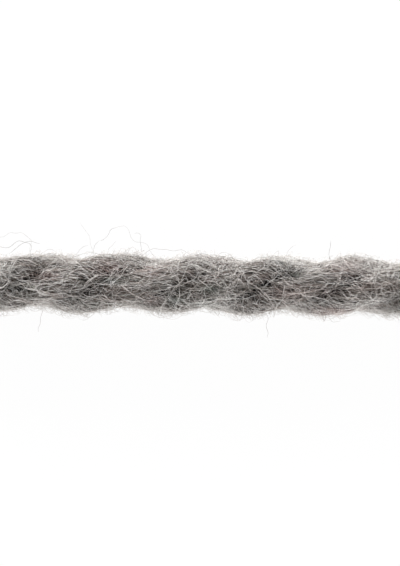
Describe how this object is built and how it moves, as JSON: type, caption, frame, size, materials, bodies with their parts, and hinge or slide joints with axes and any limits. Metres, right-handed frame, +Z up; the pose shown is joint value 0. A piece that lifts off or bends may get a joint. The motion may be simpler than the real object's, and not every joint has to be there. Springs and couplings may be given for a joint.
{
  "type": "knitting yarn",
  "caption": "Short cut length of fuzzy grey wool knitting yarn, softly spun plies twisted round each other, lying straight on a surface.",
  "frame": {"origin": "middle of the underside, on the surface that the yarn rests on", "axes": "+X along the yarn, +Z up from the surface"},
  "size_m": [0.0332, 0.0042, 0.0039],
  "materials": {
    "grey_wool": "matt, undyed grey wool with paler and darker hairs and a loose fuzz"
  },
  "bodies": {
    "root": {"ply_1": "grey_wool", "ply_2": "grey_wool", "ply_3": "grey_wool"}
  },
  "joints": []
}
